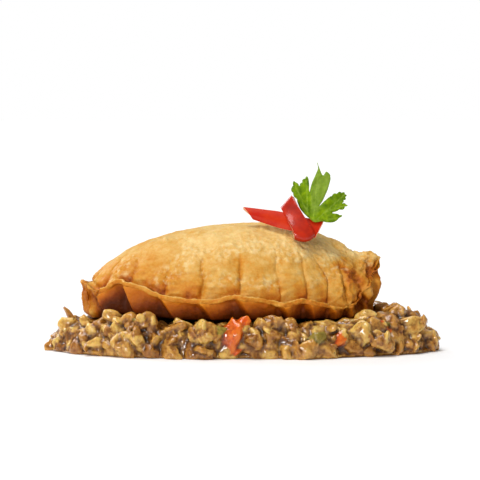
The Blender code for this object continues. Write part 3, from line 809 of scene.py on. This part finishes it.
def place_piece(share, height, angle, draw):
    """One piece lying on the heap: its size, its uneven corners, its attitude and its middle."""
    left = ease((-math.cos(angle) - 0.75) / 0.25)
    plan = heap_outline(angle, CORE_INSET) * (share - LEFT_TAPER * left * height / RELISH_TOP)
    length = draw.uniform(*PIECE_LENGTH)
    width = length * draw.uniform(0.6, 0.8)
    thick = length * draw.uniform(0.4, 0.6)
    bend = length * draw.uniform(0, 0.15)
    uneven = uneven_corners(draw, 0.12)
    tilt = draw.uniform(-0.5, 0.5)
    steep = math.radians(75) * ease((share - 0.8) / 0.2)
    lean = Euler((draw.uniform(-0.5, 0.5) - steep, tilt, 0))
    spin = Euler((0, 0, draw.uniform(-1.2, 1.2)))
    turn = Euler((0, 0, angle - math.pi / 2)).to_matrix() @ lean.to_matrix() @ spin.to_matrix()
    rise = END_RISE * ease((abs(math.cos(angle)) - 0.7) / 0.3) * ease((height / MM - 8.4) / 3)
    return (length, width, thick, bend), uneven, turn, Vector((plan.x, plan.y, height + rise))


@functools.cache
def outline_lengths():
    """The length along the heap's outline at each of a row of angles."""
    fine = np.linspace(0, 2 * math.pi, 181)
    plan = np.array([heap_outline(a) for a in fine])
    return np.concatenate([[0], np.cumsum(np.linalg.norm(np.diff(plan, axis=0), axis=1))]), fine


def even_angle(share):
    """The angle at a share of the way round the heap's outline."""
    along, fine = outline_lengths()
    return float(np.interp((share % 1) * along[-1], along, fine))


def make_big_pieces(kinds):
    """The chopped pieces in rows round the heap."""
    draw = random.Random(11)
    choose = random.Random(5)
    for row, (share, height) in enumerate(PIECE_ROWS):
        around = 2 * math.pi * share * math.sqrt((RELISH_LENGTH**2 + RELISH_DEPTH**2) / 8)
        count = round(around / PIECE_PITCH)
        for index in range(count):
            angle = even_angle((index + 0.5 * (row % 2) + draw.uniform(-0.25, 0.25)) / count)
            middle = height * MM + draw.uniform(-0.8, 0.8) * MM
            size, uneven, turn, place = place_piece(share, middle, angle, draw)
            kind = kinds[choose.choices(("onion", "green", "carrot"), (0.98, 0.015, 0.005))[0]]
            tint = 0.8 * choose.random() + 0.25 * ease((20 * MM - place.x) / (60 * MM))
            for flake in flakes_of(kind.unit, size, uneven, choose):
                points = settle(relief(turned(flake, turn, place), index * 3.7), middle)
                if points is not None:
                    kind.add(points, tint, size[:3])


def place_in_sight(heap, eye, sight):
    """Where a line of sight meets the heap in front of the crust or, where it doesn't, its point nearest to the
    heap's front."""
    met = heap.ray_cast(eye, sight)[0]
    if met and ceiling(met.x, met.y) is None:
        return met
    steps = [eye + sight * (CAMERA_DISTANCE + step * MM) for step in range(-40, 41, 2)]
    steps = [point for point in steps if ceiling(point.x, point.y) is None]
    away = [heap.find_nearest(point)[3] + SIGHT_PULL * (point.y - steps[0].y) for point in steps]
    return steps[away.index(min(away))]


def make_shown_pieces(kinds, heap):
    """The pieces that stand out in the front view."""
    draw = random.Random(17)
    eye = CAMERA_AIM + CAMERA_BACK * CAMERA_DISTANCE
    for name, across, up, size, roll, tint in SHOWN_PIECES:
        middle = CAMERA_AIM + Vector((across, 0, up)) * MM
        place = place_in_sight(heap, eye, (middle - eye).normalized())
        kind = kinds[name]
        uneven = uneven_corners(draw, 0.3)
        length, width, thick = (value * MM for value in size)
        turn = Euler((math.pi / 2 - SHOWN_LEAN, -math.radians(roll), 0)).to_matrix()
        points = block_points(kind.unit, length * 1.15, width * 1.25, thick * 1.2, 0.1 * length, uneven)
        points = settle(relief(turned(points, turn, place), across), thick * 3)
        if points is not None:
            kind.add(points, tint, (length, width, thick))


def make_small_bits(kinds, heap):
    """Smaller chopped bits that lie on the pieces, each found by looking in at the heap from outside."""
    draw = random.Random(29)
    for _ in range(BIT_COUNT):
        outline = heap_outline(even_angle(draw.random()), CORE_INSET)
        start = outline.to_3d() * 1.5 + Vector((0, 0, draw.uniform(2, 34) * MM))
        end = outline.to_3d() * 0.7 + Vector((0, 0, 4 * MM))
        place, normal, _, _ = heap.ray_cast(start, (end - start).normalized())
        kind = kinds[draw.choices(("onion", "green", "carrot"), (0.94, 0.04, 0.02))[0]]
        length = draw.uniform(*BIT_LENGTH) * (1 if kind is kinds["onion"] else 0.6)
        thick = length * draw.uniform(*BIT_THICKNESS)
        size = (length, length * draw.uniform(0.5, 0.9), thick, length * draw.uniform(0, 0.25))
        uneven = uneven_corners(draw, 0.35)
        lean = Euler((draw.uniform(-0.9, 0.9), draw.uniform(-0.6, 0.6), draw.uniform(0, 2 * math.pi))).to_matrix()
        turn = normal.to_track_quat("Z", "Y").to_matrix() @ lean
        points = turned(block_points(kind.unit, *size, uneven), turn, place)
        points = settle(relief(points, length / MM), 20 * MM)
        if points is not None:
            kind.add(points, draw.random(), size[:3])


def make_specks(carrier, surfaces):
    """Coarsely ground black pepper on the onion."""
    draw = random.Random(3)
    specks = Pieces(1, 3)
    faces = [face for face in carrier.data.polygons if face.normal.z > -0.1]
    for face in draw.sample(faces, SPECK_COUNT):
        size = draw.uniform(0.25, 0.6) * MM
        turn = Euler([draw.uniform(0, 2 * math.pi) for _ in range(3)]).to_matrix()
        points = turned(specks.unit * size * np.array((1, 0.8, 0.5)), turn, face.center)
        specks.add(points, draw.random(), (size, size, size))
    specks.build("relish_specks", speck_material(), surfaces)


def make_relish():
    """The real chopped heap: pieces, bits, the sauce between them and ground pepper."""
    core = make_core()
    big = {"onion": Pieces(PIECE_CUTS, 6), "green": Pieces(PIECE_CUTS, 6), "carrot": Pieces(PIECE_CUTS, 8)}
    make_big_pieces(big)
    make_shown_pieces(big, surface_of(core.data, big["onion"].mesh("heap")))
    bits = {"onion": Pieces(BIT_CUTS, 6), "green": Pieces(BIT_CUTS, 6), "carrot": Pieces(BIT_CUTS, 7)}
    make_small_bits(bits, surface_of(core.data, big["onion"].mesh("heap")))
    sauce, surfaces = make_sauce(core, {kind: (big[kind], bits[kind]) for kind in big})
    dressed(core, "relish_film", "relish", [film_material()])
    dressed(sauce, "relish_sauce", "relish", [sauce_material()])
    for kind in big:
        material = piece_material(kind)
        bits[kind].build(f"relish_{kind}_bits", material, surfaces)
        big[kind].build(f"relish_{kind}", material, surfaces)
    make_specks(sauce, surfaces)


# ---- pepper strip


def garnish_point(across, up, away=0.0):
    """A point of the garnish, in mm across to the right, up, and away from the front."""
    return GARNISH_CENTRE + Vector((across, away, up)) * MM


def tail_point(along, over):
    """A point of the strip that runs from the pointed left end, through the loop, to the short right end."""
    x, z = curve_through(TAIL_BOTTOM, along) * (1 - over) + curve_through(TAIL_TOP, along) * over
    bow = 0.6 * (1 - (2 * over - 1) ** 2)
    return garnish_point(x, z, TAIL_LEAN * z + TAIL_SWEEP * ease(-x / 22) - bow)


def loop_point(turn, over):
    """A point of the loop round the strip: an oval band that lies back against the crust, wrung a little, its lower
    end bowed."""
    c, s = math.cos(turn), math.sin(turn)
    wide = Vector((0.82 + 0.2 * c, 0.1, 0.42 - 0.28 * c))
    through = LOOP_SLOPE.cross(wide).normalized()
    depth = LOOP_HALF_DEPTH * abs(s) ** 0.7 * math.copysign(1, s)
    down = LOOP_HALF_LENGTH * c + LOOP_BOW * MM * max(0.0, c) * (0.35 - 4 * over**2)
    return garnish_point(0, 0) + LOOP_SLOPE * down + through * depth + wide * LOOP_WIDTH * over


def turn_out(mesh):
    """Turns the faces of an open surface one way."""
    work = gathered(mesh)
    bmesh.ops.recalc_face_normals(work, faces=work.faces)
    kept_in(mesh, work)


def divide_height(mesh, cuts):
    """Cuts the upright edges of an open cylinder."""
    work = gathered(mesh)
    upright = [e for e in work.edges if abs(e.verts[0].co.z - e.verts[1].co.z) > 0.5]
    bmesh.ops.subdivide_edges(work, edges=upright, cuts=cuts)
    kept_in(mesh, work)


def strip(surface, name, materials):
    """A surface thickened into pepper wall: its two faces and its cut edges each get their own material."""
    turn_out(surface.data)
    modify(
        surface,
        "SOLIDIFY",
        thickness=PEPPER_THICKNESS,
        offset=0,
        use_even_offset=True,
        material_offset=1,
        material_offset_rim=2,
    )
    modify(
        surface,
        "BEVEL",
        width=0.45 * MM,
        material=2,
        segments=2,
        limit_method="ANGLE",
        angle_limit=math.radians(50),
    )
    paint(surface, materials)
    dressed(applied(surface), name, "pepper_strip", materials)


def make_pepper():
    """The straight strip and the loop tied round it."""
    inside, skin, cut = pepper_inside_material(), pepper_skin_material(), pepper_cut_material()
    bpy.ops.mesh.primitive_grid_add(x_subdivisions=90, y_subdivisions=16, size=1)
    tail = bpy.context.object
    for vertex in tail.data.vertices:
        vertex.co = tail_point(vertex.co.x + 0.5, vertex.co.y + 0.5)
    strip(tail, "pepper_tail", [inside, skin, cut])
    bpy.ops.mesh.primitive_cylinder_add(vertices=120, radius=1, depth=1, end_fill_type="NOTHING")
    loop = bpy.context.object
    divide_height(loop.data, 11)
    for vertex in loop.data.vertices:
        x, y, z = vertex.co
        vertex.co = loop_point(math.atan2(y, x), z)
    strip(loop, "pepper_loop", [skin, inside, cut])


# ---- parsley


def distance_to_rib(rib, x, z):
    """The distance, in mm, from a point of the leaf to one rib."""
    start, end = Vector(rib[0]), Vector(rib[1])
    along = end - start
    share = min(1, max(0, (Vector((x, z)) - start).dot(along) / along.length_squared))
    return (Vector((x, z)) - start - along * share).length


def leaf_point(x, z):
    """A point of the leaf, from its place in the front view: it leans back, each lobe creased along its rib."""
    rib = min(distance_to_rib(r, x, z) for r in LEAF_RIBS)
    fold = -0.2 * rib**1.3
    bend = -0.03 * max(0, x - 8) ** 1.6
    wave = 0.25 * math.sin(1.1 * x + 0.7 * z)
    vein = 0.12 * math.exp(-((rib / 0.22) ** 2))
    clear = ease((x - 3) / 3) * ease((z + 1) / 5)
    away = LEAF_AWAY + LEAF_LEAN * z + LEAF_TURN * max(0, 6 - x) + (fold + bend + wave) * clear + vein
    return garnish_point(x, z, away + 0.12 * noise.noise(Vector((x, z, 1.0)) / 1.1))


def inside_outline(point, edge):
    """Whether a point lies inside the closed outline."""
    inside = False
    for a, b in zip(edge, edge[1:] + edge[:1]):
        if (a.y > point.y) != (b.y > point.y) and point.x < a.x + (point.y - a.y) * (b.x - a.x) / (b.y - a.y):
            inside = not inside
    return inside


def tooth(step, point, along):
    """How far a point of the edge stands out in one of the small teeth round the tips of the side lobes."""
    from_foot = (point - LEAF_FOOT).length
    side_lobe = 1 - between(point.x, 3.5, 1.5, 14.5, 1.5)
    saw = math.sin(math.pi * (step % TOOTH_STEPS) / TOOTH_STEPS) - 0.6
    return Vector((-along.y, along.x)).normalized() * TOOTH_HEIGHT * saw * side_lobe * ease((from_foot - 8) / 4)


def make_parsley():
    """A thin lobed leaf, standing with its foot tucked behind the loop."""
    count = LEAF_STEPS * len(LEAF_EDGE)
    smooth = [Vector(curve_through(LEAF_EDGE + LEAF_EDGE[:1], i / count)) for i in range(count)]
    edge = [point + tooth(i, point, smooth[(i + 1) % count] - smooth[i - 1]) for i, point in enumerate(smooth)]
    inner = []
    for row in range(round(-2 / LEAF_GRID), round(28 / LEAF_GRID)):
        for column in range(round(-3 / LEAF_GRID), round(22 / LEAF_GRID)):
            point = Vector((column + 0.5 * (row % 2), row * math.sqrt(0.75))) * LEAF_GRID
            if inside_outline(point, edge) and min((point - e).length for e in edge) > 0.5 * LEAF_GRID:
                inner.append(point)
    ring = [(i, (i + 1) % count) for i in range(count)]
    points, _, faces, *_ = delaunay_2d_cdt(edge + inner, ring, [], 1, 1e-4)
    mesh = bpy.data.meshes.new("parsley")
    mesh.from_pydata([leaf_point(x, z) for x, z in points], [], faces)
    leaf = linked("parsley", mesh)
    middle = [distance_to_rib(LEAF_RIBS[2], x, z) for x, z in points]
    others = [min(distance_to_rib(r, x, z) for r in LEAF_RIBS[:2] + LEAF_RIBS[4:]) for x, z in points]
    pale = [ease((b - a + 0.6) / 1.2) * ease((z - 1) / 5) for a, b, (_, z) in zip(middle, others, points)]
    store(leaf, "pale", pale)
    store(leaf, "rib", [min(a, b, 3.0) / 3.0 for a, b in zip(middle, others)])
    turn_out(mesh)
    modify(leaf, "SOLIDIFY", thickness=LEAF_THICKNESS, offset=0)
    dressed(applied(leaf), "parsley_leaf", "parsley", [leaf_material()])


# ---- materials


def srgb(red, green, blue, light=SUNLIT):
    """A surface's own colour, from the colour that a screen shows, 0 to 255, of it under this much light."""
    linear = [(v / 255 / 12.92) if v <= 10 else ((v / 255 + 0.055) / 1.055) ** 2.4 for v in (red, green, blue)]
    return (*[value / light for value in linear], 1)


class Shading:
    """A material under construction. Its lengths are in mm."""

    def __init__(self, name, scatter=None, **settings):
        """Scatter is the share of light that goes in, how far each colour goes, and the scale."""
        self.made = bpy.data.materials.new(name)
        self.made.use_nodes = True
        self.tree = self.made.node_tree
        self.shader = self.tree.nodes["Principled BSDF"]
        if scatter:
            share, radius, scale = scatter
            self.set(Subsurface_Weight=share, Subsurface_Radius=radius, Subsurface_Scale=scale * MM)
        self.set(**settings)

    def set(self, **inputs):
        """Sets or links the shader's own inputs."""
        for socket, value in inputs.items():
            self.feed(self.shader.inputs[socket.replace("_", " ")], value)
        return self.made

    def feed(self, target, value):
        """Sets or links one input."""
        if isinstance(value, bpy.types.NodeSocket):
            self.tree.links.new(value, target)
        else:
            target.default_value = value

    def node(self, kind, *numbered, **named):
        """A node with its inputs given in order or by name."""
        made = self.tree.nodes.new(kind)
        for socket, value in (*enumerate(numbered), *named.items()):
            self.feed(made.inputs[socket], value)
        return made

    def kept(self, name, output="Fac"):
        """What the mesh keeps for each vertex: a number, or a vector as the output Vector."""
        made = self.node("ShaderNodeAttribute")
        made.attribute_name = name
        return made.outputs[output]

    def noise(self, size, detail=3.0, rough=0.55, squeeze=None):
        """Noise whose features are about this large, squeezed on each axis where squeeze is given."""
        where = self.node("ShaderNodeTexCoord").outputs["Object"]
        if squeeze:
            squeezed = self.node("ShaderNodeVectorMath", where, squeeze)
            squeezed.operation = "MULTIPLY"
            where = squeezed.outputs["Vector"]
        made = self.node("ShaderNodeTexNoise", Vector=where, Scale=1 / (size * MM), Detail=detail, Roughness=rough)
        return made.outputs["Fac"]

    def maths(self, operation, a, b):
        """Arithmetic on two values."""
        made = self.node("ShaderNodeMath", a, b)
        made.operation = operation
        return made.outputs[0]

    def total(self, *values):
        """The sum of some values."""
        return functools.reduce(functools.partial(self.maths, "ADD"), values)

    def level(self, value, low, high, to_low=0.0, to_high=1.0):
        """A value brought from one range to another."""
        return self.node("ShaderNodeMapRange", value, low, high, to_low, to_high).outputs[0]

    def blotch(self, size, detail, low, high):
        """Noise of this size between two values."""
        return self.level(self.noise(size, detail), 0.3, 0.7, low, high)

    def ramp(self, value, *stops, light=SUNLIT):
        """A colour for each value, through stops in order: place, red, green and blue."""
        made = self.node("ShaderNodeValToRGB", Fac=value)
        bar = made.color_ramp.elements
        for element, (place, *colour) in zip(bar, (stops[0], stops[-1])):
            element.position = place
            element.color = srgb(*colour, light)
        for place, *colour in stops[1:-1]:
            bar.new(place).color = srgb(*colour, light)
        return made.outputs["Color"]

    def mix(self, share, a, b):
        """Two colours mixed."""
        made = self.node("ShaderNodeMix")
        made.data_type = "RGBA"
        for index, value in ((0, share), (6, a), (7, b)):
            self.feed(made.inputs[index], value)
        return made.outputs[2]

    def bump(self, height, distance, strength=1.0, after=None):
        """Fine relief, on top of other relief where that is given."""
        made = self.node("ShaderNodeBump", Height=height, Distance=distance * MM, Strength=strength)
        if after is not None:
            self.feed(made.inputs["Normal"], after)
        return made.outputs["Normal"]


def crust_material():
    """Fried dough: pale gold above, partly as painted light, brown on the rim, the low corners of the pillows and the
    ends, with painted shade under the rim and in creases and a painted highlight on the lip's top edge.
    """
    m = Shading("fried_crust", (0.12, (1.0, 0.45, 0.2), 1.2), Specular_IOR_Level=0.18)
    stain = m.total(
        m.blotch(9, 4.0, -0.13, 0.13),
        m.blotch(3.4, 4.0, -0.1, 0.1),
        m.blotch(1.1, 3.0, -0.08, 0.08),
    )
    fried = m.ramp(
        m.total(m.kept("toast_and_shade"), stain),
        (0.0, 246, 208, 134),
        (0.3, 230, 176, 86),
        (0.5, 222, 152, 50),
        (0.75, 206, 118, 20),
        (1.0, 152, 70, 6),
    )
    # The underside: oil-soaked, with painted shade that grows darker towards the base and in the pleats' recesses.
    soaked_and_shaded = m.ramp(
        m.total(m.kept("toast_and_shade"), m.maths("MULTIPLY", stain, 0.4)),
        (0.3, 236, 148, 30),
        (0.55, 204, 108, 10),
        (0.8, 144, 62, 2),
        (1.0, 92, 36, 0),
    )
    colour = m.mix(m.kept("under"), fried, soaked_and_shaded)
    flakes = m.level(m.noise(1.9, 2.0, 0.5), 0.48, 0.68, 0.0, 0.55)
    colour = m.mix(m.maths("MULTIPLY", flakes, m.kept("flaky")), colour, srgb(252, 226, 164))
    pores = m.bump(m.noise(0.7), 0.2, 0.7)
    wrinkles = m.bump(m.noise(1.5, squeeze=(0.5, 0.5, 1.5)), 0.35, 0.6, pores)
    skin = m.bump(m.noise(3.0, 4.0), 0.5, 0.7, wrinkles)
    return m.set(Base_Color=colour, Roughness=m.blotch(9, 4.0, 0.42, 0.58), Normal=skin)


WET = {"Roughness": 0.2, "Specular_IOR_Level": 0.1, "Coat_Weight": 0.75, "Coat_Roughness": 0.05}
TRANSLUCENT = (0.7, (1.0, 0.7, 0.4), 1.1)
# Painted in the heap's hollows and under the crust: the sauce's brown and painted shade.
SAUCE_AND_SHADE_BROWN = srgb(52, 24, 2)
# The colours of each kind of chopped piece, cooked, from pale to brown.
COOKED = {
    "onion": ((0.0, 244, 198, 104), (0.3, 210, 150, 64), (0.62, 162, 100, 32), (1.0, 90, 48, 8)),
    "green": ((0.0, 176, 150, 56), (0.5, 124, 104, 22), (1.0, 72, 60, 8)),
    "carrot": ((0.0, 252, 136, 34), (0.5, 236, 94, 10), (1.0, 176, 54, 2)),
}


def toned(m, kind):
    """The colour for a piece's tint, stained, with a painted highlight on its ridges and painted shade in its folds.
    """
    tone = m.total(
        m.level(m.kept("tint"), 0.0, 1.0, 0.15, 0.75),
        m.blotch(4, 4.0, -0.12, 0.12),
        m.blotch(1.2, 3.0, -0.08, 0.08),
        # Painted highlight on the ridges, painted shade in the folds.
        m.level(m.kept("ridge"), 0.0, 1.0, 0.36, -0.2),
    )
    return m.ramp(tone, *COOKED[kind])


def sauced_and_shaded(m, colour, under=None):
    """The finished material of this colour: painted dark brown, as sauce and as shade, in the heap's hollows and
    under the crust, with fine crinkles that catch the light."""
    folds = m.bump(m.noise(1.6, 2.0), 0.5, 0.7, under)
    crinkles = m.bump(m.noise(0.7, 2.0), 0.2, 0.6, folds)
    return m.set(Base_Color=m.mix(m.kept("sauce_and_shade"), colour, SAUCE_AND_SHADE_BROWN), Normal=crinkles)


def piece_material(kind):
    """A cooked piece, veined along its length."""
    m = Shading(f"cooked_{kind}", TRANSLUCENT, **WET)
    own = m.kept("own", "Vector")
    veins = m.node("ShaderNodeTexWave", Vector=own, Scale=0.35 / MM, Distortion=2.0, Detail=2.0)
    veins.bands_direction = "Y"
    return sauced_and_shaded(m, toned(m, kind), m.bump(veins.outputs["Fac"], 0.06, 0.5))


def sauce_material():
    """Clear brown sauce, through which the pieces show where it is thin."""
    m = Shading("onion_sauce", TRANSLUCENT, **WET)
    shown = m.mix(m.kept("green"), toned(m, "onion"), toned(m, "green"))
    return sauced_and_shaded(m, m.mix(m.kept("carrot"), shown, toned(m, "carrot")))


def film_material():
    """The thin sauce that has run out at the foot."""
    m = Shading("sauce_film", (0.3, (1.0, 0.55, 0.2), 2.0), **WET)
    pulp = m.noise(2.2, 4.0)
    colour = m.ramp(pulp, (0.3, 96, 58, 16), (0.5, 134, 90, 34), (0.7, 170, 124, 56))
    return m.set(Base_Color=colour, Normal=m.bump(pulp, 0.3, 0.6))


def speck_material():
    """Black pepper."""
    m = Shading("ground_pepper", Roughness=0.6, Specular_IOR_Level=0.1)
    return m.set(Base_Color=m.ramp(m.noise(0.4), (0.3, 20, 12, 8), (0.7, 62, 40, 24)))


def pepper_skin_material():
    """The shiny skin side of red pepper."""
    shine = {"Roughness": 0.3, "Specular_IOR_Level": 0.1, "Coat_Weight": 0.5, "Coat_Roughness": 0.1}
    m = Shading("pepper_skin", (0.15, (1.0, 0.3, 0.1), 0.8), **shine)
    colour = m.ramp(m.noise(5), (0.3, 166, 26, 2), (0.7, 208, 44, 4))
    return m.set(Base_Color=colour, Normal=m.bump(m.noise(1.2), 0.08, 0.4))


def pepper_inside_material():
    """The matt inner side of red pepper."""
    m = Shading("pepper_inside", (0.15, (1.0, 0.4, 0.15), 0.8), Roughness=0.42, Specular_IOR_Level=0.1)
    colour = m.ramp(m.noise(4, 4.0), (0.3, 198, 26, 2), (0.7, 216, 56, 8))
    return m.set(Base_Color=colour, Normal=m.bump(m.noise(0.8), 0.12, 0.5))


def pepper_cut_material():
    """The pale, juicy cut edge of red pepper."""
    m = Shading("pepper_cut", (0.3, (1.0, 0.5, 0.3), 1.0), Roughness=0.35, Coat_Weight=0.3, Coat_Roughness=0.2)
    return m.set(Base_Color=m.ramp(m.noise(1.5), (0.3, 250, 170, 120), (0.7, 255, 208, 168)))


def leaf_material():
    """Fresh parsley, its middle lobe paler, with lighter ribs."""
    m = Shading("parsley_green", (0.35, (0.6, 1.0, 0.1), 1.0), Roughness=0.5, Specular_IOR_Level=0.08)
    tone = m.noise(2.5, 4.0)
    green = m.ramp(tone, (0.3, 80, 114, 0), (0.55, 118, 150, 1), (0.75, 152, 178, 10))
    pale = m.ramp(tone, (0.3, 112, 142, 26), (0.7, 146, 172, 60))
    rib = m.level(m.kept("rib"), 0.02, 0.14, 0.5, 0.0)
    colour = m.mix(rib, m.mix(m.kept("pale"), green, pale), srgb(162, 186, 70))
    cells = m.bump(m.noise(0.6, 2.0), 0.1, 0.5, m.bump(tone, 0.4, 0.5))
    return m.set(Base_Color=colour, Normal=cells)


# ---- stage


def make_stage():
    """A plain white floor."""
    bpy.ops.mesh.primitive_plane_add(size=6, location=(0, 0, -0.05 * MM))
    floor = bpy.context.object
    floor.name = "floor"
    m = Shading("white_floor", Roughness=0.6)
    pale = m.ramp(m.noise(400, 2.0), (0.0, 244, 244, 244), (1.0, 250, 250, 250), light=1)
    paint(floor, [m.set(Base_Color=pale)])


def aimed(name, data, place, direction):
    """A new object at this place that looks this way."""
    made = linked(name, data)
    made.location = place
    made.rotation_mode = "QUATERNION"
    made.rotation_quaternion = direction.to_track_quat("-Z", "Y")
    return made


def add_sun(name, place, spread, strength):
    """A soft light on the object from the side of this place, its disc so many degrees across."""
    sun = bpy.data.lights.new(name, "SUN")
    sun.energy = strength
    sun.angle = math.radians(spread)
    aimed(name, sun, place, -Vector(place))


def make_lights():
    """A broad light overhead and two smaller ones from the left, in a room that is white behind the object and dimmer
    all round."""
    world = bpy.data.worlds.new("studio")
    bpy.context.scene.world = world
    world.use_nodes = True
    tree = world.node_tree
    rays = tree.nodes.new("ShaderNodeLightPath")
    strength = tree.nodes.new("ShaderNodeMapRange")
    strength.inputs["To Min"].default_value = 0.36
    strength.inputs["To Max"].default_value = 1.0
    tree.links.new(rays.outputs["Is Camera Ray"], strength.inputs["Value"])
    tree.links.new(strength.outputs["Result"], tree.nodes["Background"].inputs["Strength"])
    tree.nodes["Background"].inputs["Color"].default_value = (1, 1, 1, 1)
    add_sun("overhead", (-0.2, -0.15, 1.0), 35, 2.2)
    add_sun("left_front", (-0.5, -0.85, 0.25), 12, 1.5)
    add_sun("left_back", (-0.6, 0.6, 0.5), 24, 1.0)


def make_camera():
    """The photograph's view: level with the front, a little above it."""
    lens = bpy.data.cameras.new("camera")
    lens.lens = lens.sensor_width * CAMERA_DISTANCE / (IMAGE_PIXELS * METRES_PER_PIXEL)
    lens.clip_start = 0.01
    place = CAMERA_AIM + CAMERA_BACK * CAMERA_DISTANCE
    bpy.context.scene.camera = aimed("camera", lens, place, -CAMERA_BACK)


make_camera()
make_lights()
make_stage()
crust = make_crust()
CRUST_TREE = BVHTree.FromObject(crust, bpy.context.evaluated_depsgraph_get())
make_relish()
make_pepper()
make_parsley()
bpy.context.scene.view_settings.view_transform = "Standard"
